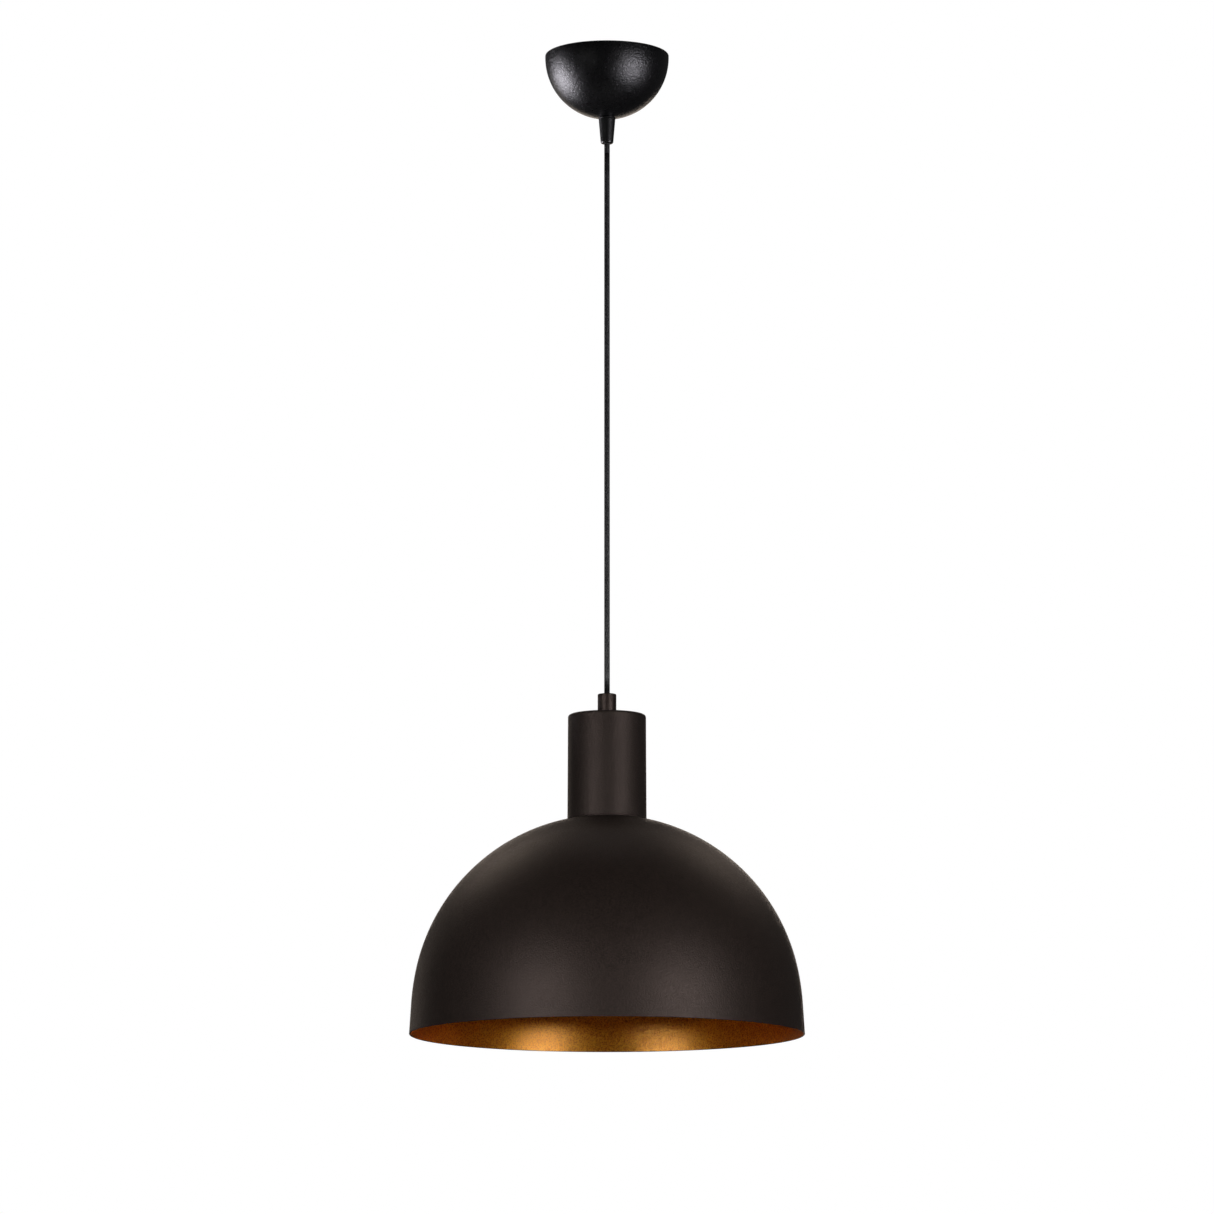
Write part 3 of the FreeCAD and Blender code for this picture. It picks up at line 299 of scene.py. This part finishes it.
def make_world():
    """A white backdrop behind the object, which lights it only dimly."""
    world = bpy.data.worlds.new("studio")
    world.use_nodes = True
    tree = world.node_tree
    background = tree.nodes["Background"]
    backdrop = tree.nodes.new("ShaderNodeBackground")
    either = tree.nodes.new("ShaderNodeMixShader")
    ray = tree.nodes.new("ShaderNodeLightPath")
    background.inputs["Strength"].default_value = AMBIENT
    background.inputs["Color"].default_value = (1, 1, 1, 1)
    backdrop.inputs["Strength"].default_value = BACKDROP
    backdrop.inputs["Color"].default_value = (1, 1, 1, 1)
    tree.links.new(ray.outputs["Is Camera Ray"], either.inputs["Fac"])
    tree.links.new(background.outputs["Background"], either.inputs[1])
    tree.links.new(backdrop.outputs["Background"], either.inputs[2])
    tree.links.new(either.outputs["Shader"], tree.nodes["World Output"].inputs["Surface"])
    scene.world = world
    scene.view_settings.view_transform = "Standard"


def make_floor():
    """A plain pale floor far below, evenly bright to the eye and dim as a source of light."""
    mesh = bpy.data.meshes.new("floor")
    half = FLOOR_HALF
    corners = [(-half, -half, FLOOR_Z), (half, -half, FLOOR_Z),
               (half, half, FLOOR_Z), (-half, half, FLOOR_Z)]
    mesh.from_pydata(corners, [], [(0, 1, 2, 3)])
    paint = bpy.data.materials.new("floor")
    paint.use_nodes = True
    tree = paint.node_tree
    shader = tree.nodes["Principled BSDF"]
    shader.inputs["Base Color"].default_value = (*FLOOR_TONE, 1)
    shader.inputs["Roughness"].default_value = 1.0
    glow = tree.nodes.new("ShaderNodeEmission")
    glow.inputs["Color"].default_value = (*FLOOR_TONE, 1)
    either = tree.nodes.new("ShaderNodeMixShader")
    ray = tree.nodes.new("ShaderNodeLightPath")
    tree.links.new(ray.outputs["Is Camera Ray"], either.inputs["Fac"])
    tree.links.new(shader.outputs["BSDF"], either.inputs[1])
    tree.links.new(glow.outputs["Emission"], either.inputs[2])
    tree.links.new(either.outputs["Shader"], tree.nodes["Material Output"].inputs["Surface"])
    mesh.materials.append(paint)
    linked("floor", mesh)


# ---------------------------------------------------------------- material helpers
def finish(name, colour, roughness, extra=()):
    """A material with plain values on its shader; extra holds (socket name, value) pairs."""
    made = bpy.data.materials.new(name)
    made.use_nodes = True
    shader = made.node_tree.nodes["Principled BSDF"]
    shader.inputs["Base Color"].default_value = (*colour, 1)
    shader.inputs["Roughness"].default_value = roughness
    for socket, value in extra:
        shader.inputs[socket].default_value = value
    return made


def grain(made, size, detail, stretch=(1, 1, 1)):
    """Noise whose grains are about size metres across, longer where stretch is below 1."""
    tree = made.node_tree
    place = tree.nodes.new("ShaderNodeTexCoord")
    scale = tree.nodes.new("ShaderNodeMapping")
    noise = tree.nodes.new("ShaderNodeTexNoise")
    scale.inputs["Scale"].default_value = stretch
    noise.inputs["Scale"].default_value = 1 / size
    noise.inputs["Detail"].default_value = detail
    tree.links.new(place.outputs["Object"], scale.inputs["Vector"])
    tree.links.new(scale.outputs["Vector"], noise.inputs["Vector"])
    return noise.outputs["Fac"]


def flakes(made, size):
    """Cells about size metres across, each with its own random value."""
    tree = made.node_tree
    place = tree.nodes.new("ShaderNodeTexCoord")
    cells = tree.nodes.new("ShaderNodeTexVoronoi")
    cells.inputs["Scale"].default_value = 1 / size
    tree.links.new(place.outputs["Object"], cells.inputs["Vector"])
    return cells.outputs["Color"]


def coloured(made, factor, low, high, start=RAMP_START, end=RAMP_END):
    """Base colour that runs from low to high with a texture."""
    tree = made.node_tree
    ramp = tree.nodes.new("ShaderNodeValToRGB")
    ramp.color_ramp.elements[0].position = start
    ramp.color_ramp.elements[0].color = (*low, 1)
    ramp.color_ramp.elements[1].position = end
    ramp.color_ramp.elements[1].color = (*high, 1)
    tree.links.new(factor, ramp.inputs["Fac"])
    tree.links.new(ramp.outputs["Color"], tree.nodes["Principled BSDF"].inputs["Base Color"])


def ranged(made, factor, socket, low, high):
    """A shader value that runs from low to high with a texture."""
    tree = made.node_tree
    spread = tree.nodes.new("ShaderNodeMapRange")
    spread.inputs["From Min"].default_value = NOISE_LOW
    spread.inputs["From Max"].default_value = NOISE_HIGH
    spread.inputs["To Min"].default_value = low
    spread.inputs["To Max"].default_value = high
    tree.links.new(factor, spread.inputs["Value"])
    tree.links.new(spread.outputs["Result"], tree.nodes["Principled BSDF"].inputs[socket])


def bumped(made, layers):
    """Relief from one or more layers, each a (texture, depth in metres, strength)."""
    tree = made.node_tree
    below = None
    for height, depth, strength in layers:
        bump = tree.nodes.new("ShaderNodeBump")
        bump.inputs["Distance"].default_value = depth
        bump.inputs["Strength"].default_value = strength
        tree.links.new(height, bump.inputs["Height"])
        if below:
            tree.links.new(below, bump.inputs["Normal"])
        below = bump.outputs["Normal"]
    tree.links.new(below, tree.nodes["Principled BSDF"].inputs["Normal"])


# ---------------------------------------------------------------- materials
def powder_coat(name, dark, light, roughness):
    """Fine textured powder coat: orange peel, with a finer sandy grain on it."""
    made = finish(name, light, roughness, extra=[("Specular Tint", BROWN_SHINE)])
    fine = grain(made, COAT_GRAIN * MM, detail=2.0)
    peel = grain(made, COAT_PEEL * MM, detail=1.0)
    coloured(made, fine, dark, light)
    ranged(made, fine, "Roughness", low=roughness - COAT_ROUGHNESS_SWING,
           high=roughness + COAT_ROUGHNESS_SWING)
    bumped(made, [(peel, COAT_PEEL_DEPTH * MM, 0.35), (fine, COAT_GRAIN_DEPTH * MM, 0.80)])
    return made


def gold_paint():
    """Metallic gold paint with coarse flakes."""
    clear_coat = [("Coat Weight", 0.7), ("Coat Roughness", 0.26)]
    made = finish("gold_paint", GOLD_MIDDLE, roughness=0.36, extra=[("Metallic", 1.0)] + clear_coat)
    fine = grain(made, GOLD_GRAIN * MM, detail=3.0)
    glint = flakes(made, GOLD_FLAKE * MM)
    coloured(made, fine, GOLD_DARK, GOLD_LIGHT)
    ranged(made, fine, "Roughness", low=0.30, high=0.40)
    bumped(made, [(fine, GOLD_GRAIN_DEPTH * MM, 0.50), (glint, GOLD_FLAKE_DEPTH * MM, 0.40)])
    return made


def canopy_plastic():
    """Black moulded plastic with a fine spark-eroded texture."""
    made = finish("canopy_plastic", CANOPY_PLAIN, roughness=0.36, extra=[("Specular IOR Level", 0.38)])
    fine = grain(made, CANOPY_GRAIN * MM, detail=2.0)
    coloured(made, fine, CANOPY_DARK, CANOPY_LIGHT)
    ranged(made, fine, "Roughness", low=0.26, high=0.36)
    bumped(made, [(fine, CANOPY_GRAIN_DEPTH * MM, 0.9)])
    return made


def moulded_black(name, tone, roughness, size):
    """Smooth black plastic with a faint unevenness from moulding."""
    made = finish(name, (tone, tone, tone), roughness)
    cloudy = grain(made, size, detail=2.0)
    fine = grain(made, MOULDED_GRAIN * MM, detail=2.0)
    dark = [MOULDED_DARKER * tone] * 3
    light = [MOULDED_LIGHTER * tone, MOULDED_LIGHTER * tone, MOULDED_BLUER * tone]
    coloured(made, cloudy, dark, light)
    ranged(made, fine, "Roughness", low=roughness - MOULDED_SMOOTHER, high=roughness + MOULDED_ROUGHER)
    bumped(made, [(fine, MOULDED_GRAIN_DEPTH * MM, 0.5)])
    return made


def flex_rubber():
    """Black flex sheath, with faint lines along it from extrusion."""
    made = finish("flex_rubber", FLEX_MIDDLE, roughness=0.36)
    drawn = grain(made, FLEX_LINES * MM, detail=2.0, stretch=FLEX_LINES_STRETCH)
    cloudy = grain(made, FLEX_CLOUDS * MM, detail=1.0)
    coloured(made, cloudy, FLEX_DARK, FLEX_LIGHT)
    ranged(made, drawn, "Roughness", low=0.30, high=0.44)
    bumped(made, [(drawn, FLEX_LINES_DEPTH * MM, 0.5)])
    return made


def core_plastic(name, dark, light):
    """Glossy PVC on one core of the flex."""
    made = finish(name, light, roughness=0.30)
    cloudy = grain(made, CORE_CLOUDS * MM, detail=1.0)
    fine = grain(made, CORE_GRAIN * MM, detail=2.0)
    coloured(made, cloudy, dark, light)
    ranged(made, fine, "Roughness", low=0.26, high=0.38)
    bumped(made, [(fine, CORE_GRAIN_DEPTH * MM, 0.4)])
    return made


def nylon():
    """Milky white nylon."""
    milky = [("Subsurface Weight", 0.15), ("Subsurface Scale", NYLON_LIGHT_DEPTH * MM)]
    made = finish("nylon", NYLON_MIDDLE, roughness=0.42, extra=milky)
    cloudy = grain(made, NYLON_CLOUDS * MM, detail=2.0)
    fine = grain(made, NYLON_GRAIN * MM, detail=2.0)
    coloured(made, cloudy, NYLON_DARK, NYLON_LIGHT)
    ranged(made, fine, "Roughness", low=0.36, high=0.48)
    bumped(made, [(fine, NYLON_GRAIN_DEPTH * MM, 0.4)])
    return made


def ceramic():
    """Cream steatite with a thin glaze and fine dark specks."""
    glaze = [("Coat Weight", 0.4), ("Coat Roughness", 0.15)]
    made = finish("ceramic", CERAMIC_MIDDLE, roughness=0.38, extra=glaze)
    specks = grain(made, CERAMIC_SPECKS * MM, detail=4.0)
    coloured(made, specks, CERAMIC_DARK, CERAMIC_LIGHT, start=SPECKS_START, end=SPECKS_END)
    bumped(made, [(specks, CERAMIC_SPECKS_DEPTH * MM, 0.4)])
    return made


def bare_metal(name, dark, light, smooth, rough, size, stretch=(1, 1, 1)):
    """Plated or bare metal, with stains and fine tool marks."""
    made = finish(name, light, smooth, extra=[("Metallic", 1.0)])
    stain = grain(made, size, detail=3.0)
    marks = grain(made, METAL_MARKS * MM, detail=2.0, stretch=stretch)
    coloured(made, stain, dark, light)
    ranged(made, marks, "Roughness", low=smooth, high=rough)
    bumped(made, [(marks, METAL_MARKS_DEPTH * MM, 0.5)])
    return made


shade_coat = powder_coat("shade_coat", BROWN_DARK, BROWN_LIGHT, roughness=0.50)
cup_coat = powder_coat("cup_coat", CUP_DARK, CUP_LIGHT, roughness=0.54)
sleeve_coat = powder_coat("sleeve_coat", BROWN_DARK, BROWN_LIGHT, roughness=0.42)
gold = gold_paint()
canopy_black = canopy_plastic()
grip_black = moulded_black("grip_black", GRIP_TONE, roughness=0.34, size=5 * MM)
flex_black = flex_rubber()
holder_black = moulded_black("holder_black", HOLDER_TONE, roughness=0.42, size=3 * MM)
zinc = bare_metal("zinc", ZINC_DARK, ZINC_LIGHT, smooth=0.26, rough=0.42, size=5 * MM)
brass = bare_metal("brass", BRASS_DARK, BRASS_LIGHT, smooth=0.22, rough=0.38, size=3 * MM)
nickel = bare_metal("nickel", NICKEL_DARK, NICKEL_LIGHT, smooth=0.20, rough=0.34, size=6 * MM,
                    stretch=NICKEL_STRETCH)

CAD_FINISHES = (
    (zinc, ("mounting_bracket", "bracket_hook", "suspender_screws", "terminal_screws",
            "terminal_block_screw", "grip_lock_washer", "grip_lock_nut", "sleeve_screw",
            "hollow_nipple", "cup_washer", "cup_nut", "lampholder_terminal_screws")),
    (nylon(), ("flex_suspender", "suspender_clamp", "terminal_block", "grip_collet")),
    (brass, ("terminal_inserts", "lampholder_terminals", "centre_contact", "side_contact")),
    (ceramic(), ("lampholder_core",)),
    (holder_black, ("lampholder_cap", "lampholder_skirt", "upper_shade_ring", "lower_shade_ring")),
    (core_plastic("brown_core", CORE_BROWN_DARK, CORE_BROWN_LIGHT),
     ("ceiling_core_brown", "lamp_core_brown")),
    (core_plastic("blue_core", CORE_BLUE_DARK, CORE_BLUE_LIGHT),
     ("ceiling_core_blue", "lamp_core_blue")),
    (grip_black, ("grip_stem",)),
    (sleeve_coat, ("flex_sleeve",)),
    (flex_black, ("lower_flex",)),
)


def dress_cad():
    """Puts its material on every CAD node that stays visible."""
    for made, names in CAD_FINISHES:
        for name in names:
            for slot in nodes[name].material_slots:
                slot.material = made


# ---------------------------------------------------------------- mesh helpers
def shaded(piece, *finishes):
    """Smooth shading with even normals, and the piece's materials in order."""
    for made in finishes:
        piece.data.materials.append(made)
    for polygon in piece.data.polygons:
        polygon.use_smooth = True
    piece.modifiers.new("even_normals", "WEIGHTED_NORMAL")
    return piece


def arc(centre, radius, start_deg, end_deg, steps):
    """Points of an arc, its angles measured from outwards to up."""
    turns = [math.radians(start_deg + (end_deg - start_deg) * k / steps) for k in range(steps + 1)]
    return [(centre[0] + radius * math.cos(a), centre[1] + radius * math.sin(a)) for a in turns]


def softened(corners):
    """A closed outline from (radius, height, rounding) corners, each rounding a small arc."""
    outline = []
    for k, (r, z, rounding) in enumerate(corners):
        here = Vector((r, z))
        if not rounding:
            outline.append((r, z))
            continue
        back = (Vector(corners[k - 1][:2]) - here).normalized()
        ahead = (Vector(corners[(k + 1) % len(corners)][:2]) - here).normalized()
        half = back.angle(ahead) / 2
        middle = here + (back + ahead).normalized() * (rounding / math.sin(half))
        start = (here + back * (rounding / math.tan(half)) - middle) / rounding
        end = (here + ahead * (rounding / math.tan(half)) - middle) / rounding
        for step in range(ROUND_STEPS + 1):
            spoke = start.slerp(end, step / ROUND_STEPS)
            outline.append(tuple(middle + spoke * rounding))
    return outline


def circle(radius, z, steps):
    """Points of a level circle about the Z axis, in metres."""
    turns = [2 * math.pi * k / steps for k in range(steps)]
    return [(radius * math.cos(a), radius * math.sin(a), z) for a in turns]


def joined(name, rings, closed):
    """A mesh that joins rings of points in turn, then back to the first ring or capped at both ends."""
    shape = bmesh.new()
    loops = [[shape.verts.new(point) for point in ring] for ring in rings]
    following = loops[1:] + loops[:1] if closed else loops[1:]
    for here, ahead in zip(loops, following):
        for k in range(len(here)):
            after = (k + 1) % len(here)
            shape.faces.new((here[k], here[after], ahead[after], ahead[k]))
    if not closed:
        shape.faces.new(loops[0])
        shape.faces.new(loops[-1])
    bmesh.ops.recalc_face_normals(shape, faces=shape.faces)
    mesh = bpy.data.meshes.new(name)
    shape.to_mesh(mesh)
    shape.free()
    return linked(name, mesh)


def turned(name, outline, steps, *finishes):
    """A mesh turned about the Z axis from a closed outline in millimetres."""
    rings = [circle(r * MM, z * MM, steps) for r, z in outline]
    return shaded(joined(name, rings, closed=True), *finishes)


def reach(name):
    """Radius, bottom and top of a turned CAD node, in millimetres."""
    low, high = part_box(name)
    return high.x / MM, low.z / MM, high.z / MM


# ---------------------------------------------------------------- flex
def smooth_route(route):
    """Points read from a smooth curve whose control points are the route's."""
    data = bpy.data.curves.new("route", "CURVE")
    data.dimensions = "3D"
    spline = data.splines.new("NURBS")
    spline.points.add(len(route) - 1)
    for point, place in zip(spline.points, route):
        point.co = (*place, 1)
    spline.order_u = ROUTE_ORDER
    spline.use_endpoint_u = True
    curve = linked("route", data)
    bpy.context.view_layer.update()
    line = bpy.data.meshes.new_from_object(curve)
    points = [vertex.co.copy() for vertex in line.vertices]
    bpy.data.objects.remove(curve)
    return points


def flex_length(name, high, low, node):
    """A straight stretch of flex between two heights, in place of the CAD node that it hides."""
    radius = reach("hanging_flex")[0] * MM
    ends = [Vector((0, 0, z * MM)) for z in (high, low)]
    points = smooth_route([ends[0], (ends[0] + ends[1]) / 2, ends[1]])
    rings = [circle(radius, point.z, FLEX_SIDES) for point in points]
    piece = shaded(joined(name, rings, closed=False), flex_black)
    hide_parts(node)
    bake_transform(piece)
    return piece, points


def make_flex():
    """The flex in four lengths: inside the canopy, two short bends at the grip, and the free run."""
    flex_length("flex_in_canopy", FLEX_TOP, BEND_TOP, "upper_flex")
    upper, _ = flex_length("flex_first_bend", BEND_TOP, BEND_MIDDLE, "flex_bend_upper")
    lower, _ = flex_length("flex_second_bend", BEND_MIDDLE, BEND_BOTTOM, "flex_bend_lower")
    free, points = flex_length("flex_free_run", BEND_BOTTOM, FLEX_END, "hanging_flex")


# ---------------------------------------------------------------- canopy and cord grip
def make_canopy():
    """The canopy's hollow half ball, with a short straight lip and a flat seat round its hole."""
    radius, bottom, top = reach("canopy_shell")
    flange_r = reach("grip_stem")[0]
    centre = (0, top - CANOPY_LIP)
    inside_r = radius - CANOPY_WALL
    seat_z = centre[1] - math.sqrt(inside_r ** 2 - CANOPY_SEAT_R ** 2)
    low_deg = math.degrees(math.asin(flange_r / radius)) - 90
    inner_deg = math.degrees(math.asin(CANOPY_SEAT_R / inside_r)) - 90
    lip = softened([(radius, centre[1], 0), (radius, top, CANOPY_EDGE),
                    (inside_r, top, CANOPY_INNER_EDGE), (inside_r, centre[1], 0)])
    # the arcs already hold the lip's two lowest points
    outline = arc(centre, radius, low_deg, 0, CANOPY_ARC_STEPS) + lip[1:-1]
    outline += arc(centre, inside_r, 0, inner_deg, CANOPY_ARC_STEPS)
    outline += [(CANOPY_HOLE_R, seat_z), (CANOPY_HOLE_R, bottom)]
    cover = turned("canopy_cover", outline, TURN_STEPS, canopy_black)
    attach(cover, "canopy")
    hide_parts("canopy_shell")


def make_grip_nut():
    """The tapered nut, rounded at its foot, with a belled mouth for the flex."""
    top_r, bottom, top = reach("grip_nut")
    outline = softened([
        (GRIP_THREAD_R, GRIP_SEAT_Z, GRIP_SEAT_ROUND), (GRIP_THREAD_R, top, GRIP_THREAD_ROUND),
        (top_r, top, GRIP_TOP_ROUND), (GRIP_LOW_R, bottom, GRIP_ROUND),
        (GRIP_MOUTH_R, bottom, GRIP_BELL), (GRIP_MOUTH_R, GRIP_SEAT_Z, GRIP_SEAT_ROUND),
    ])
    nut = turned("grip_nut_cover", outline, SMALL_TURN_STEPS, grip_black)
    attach(nut, "grip_nut")
    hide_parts("grip_nut")


# ---------------------------------------------------------------- lamp
def make_cup():
    """The drawn cup, with a rounded top edge and a slight flare down to the lip at its foot."""
    base_r, bottom, top = reach("socket_cup")
    knee = bottom + CUP_FLARE
    lip_z = bottom + CUP_LIP_HEIGHT
    flare_out = base_r - CUP_LIP_OUT - CUP_LOW_R
    flare = []
    for k in range(CUP_FLARE_STEPS + 1):
        part = k / CUP_FLARE_STEPS
        flare.append((CUP_LOW_R + flare_out * part ** 2, knee + (lip_z - knee) * part, 0))
    inner_low = base_r - CUP_WALL
    inner_top = CUP_TOP_R - CUP_WALL
    corners = [(CUP_HOLE_R, top, CUP_HOLE_EDGE), (CUP_TOP_R, top, CUP_EDGE)] + flare
    corners += [(base_r, bottom + CUP_LIP_FACE, CUP_LIP_ROUND), (base_r, bottom, CUP_FOOT_ROUND),
                (inner_low, bottom, CUP_FOOT_ROUND), (inner_top, knee, 0),
                (inner_top, top - CUP_WALL, CUP_EDGE - CUP_WALL),
                (CUP_HOLE_R, top - CUP_WALL, CUP_HOLE_EDGE)]
    cup = turned("socket_cup_cover", softened(corners), TURN_STEPS, cup_coat)
    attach(cup, "lamp")
    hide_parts("socket_cup")


def shade_side(inset, rim_r, rim_z, seat_z):
    """One face of the shade's sheet, set in by inset, from the top of its flare to its hole."""
    flare = math.radians(SHADE_FLARE_DEG)
    end = math.radians(SHADE_BEND_END_DEG)
    bend_start = (rim_r - SHADE_FLARE_OUT, rim_z + SHADE_FLARE_OUT / math.tan(flare))
    bend_centre = (bend_start[0] - SHADE_BEND_R * math.cos(flare),
                   bend_start[1] - SHADE_BEND_R * math.sin(flare))
    bend_top = (bend_centre[0] + SHADE_BEND_R * math.cos(end),
                bend_centre[1] + SHADE_BEND_R * math.sin(end))
    dome_r = bend_top[0] / math.cos(end)
    dome_z = bend_top[1] - dome_r * math.sin(end)
    face_z = seat_z - inset
    top_deg = math.degrees(math.asin((face_z - dome_z) / (dome_r - inset)))
    bend = arc(bend_centre, SHADE_BEND_R - inset, SHADE_FLARE_DEG, SHADE_BEND_END_DEG, SHADE_BEND_STEPS)
    # the dome's arc starts at the point where the bend ends
    points = bend[:-1] + arc((0, dome_z), dome_r - inset, SHADE_BEND_END_DEG, top_deg, SHADE_DOME_STEPS)
    points.append((SHADE_HOLE_R, face_z))
    return points


def make_shade():
    """The dome: brown powder coat outside and over the rim, gold paint inside."""
    rim_r, rim_z, seat_z = reach("dome_shade")
    half = SHADE_SHEET / 2
    outside = shade_side(0, rim_r, rim_z, seat_z)
    inside = shade_side(SHADE_SHEET, rim_r, rim_z, seat_z)
    rim_middle = (rim_r - half, rim_z + half)
    rim = arc(rim_middle, half, SHADE_FLARE_DEG - 180, SHADE_FLARE_DEG, SHADE_RIM_STEPS)
    shade = turned("shade", rim + outside + inside[::-1], TURN_STEPS, shade_coat, gold)

    outer_faces = (len(rim) + len(outside) - 1) * TURN_STEPS
    for polygon in shade.data.polygons[outer_faces:]:
        polygon.material_index = 1
    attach(shade, "lamp")
    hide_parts("dome_shade")


def thread_ring(z, bottom, top, lip_r, out):
    """Points round the rolled thread at one height, set out from the sheet's inner face."""
    mean = (SHELL_CREST_R + SHELL_ROOT_R) / 2
    swing = (SHELL_ROOT_R - SHELL_CREST_R) / 2
    fade = min(1.0, (z - bottom) / SHELL_PITCH, (top - z) / SHELL_PITCH)
    flare = max(0.0, 1.0 - (z - bottom) / SHELL_FLARE_HEIGHT) ** 2 * (lip_r - mean - SHELL_SHEET)
    points = []
    for k in range(SMALL_TURN_STEPS):
        turn = k / SMALL_TURN_STEPS
        wave = swing * fade * math.cos(2 * math.pi * (z / SHELL_PITCH - turn))
        r = (mean + wave + flare + out) * MM
        angle = 2 * math.pi * turn
        points.append((r * math.cos(angle), r * math.sin(angle), z * MM))
    return points


def make_screw_shell():
    """The thin shell with its rolled lamp thread, and a flared lip at the bottom."""
    lip_r, bottom, top = reach("screw_shell")
    rows = round((top - bottom) / SHELL_ROW)
    heights = [bottom + (top - bottom) * k / rows for k in range(rows + 1)]
    rings = [thread_ring(z, bottom, top, lip_r, 0) for z in heights]
    rings += [thread_ring(z, bottom, top, lip_r, SHELL_SHEET) for z in reversed(heights)]
    shell = shaded(joined("threaded_shell", rings, closed=True), nickel)
    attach(shell, "lamp")
    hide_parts("screw_shell")


# ---------------------------------------------------------------- everything, camera and flex first
make_camera()
make_flex()
make_softboxes()
make_canopy_lamp()
make_world()
make_floor()
dress_cad()
make_canopy()
make_grip_nut()
make_cup()
make_shade()
make_screw_shell()
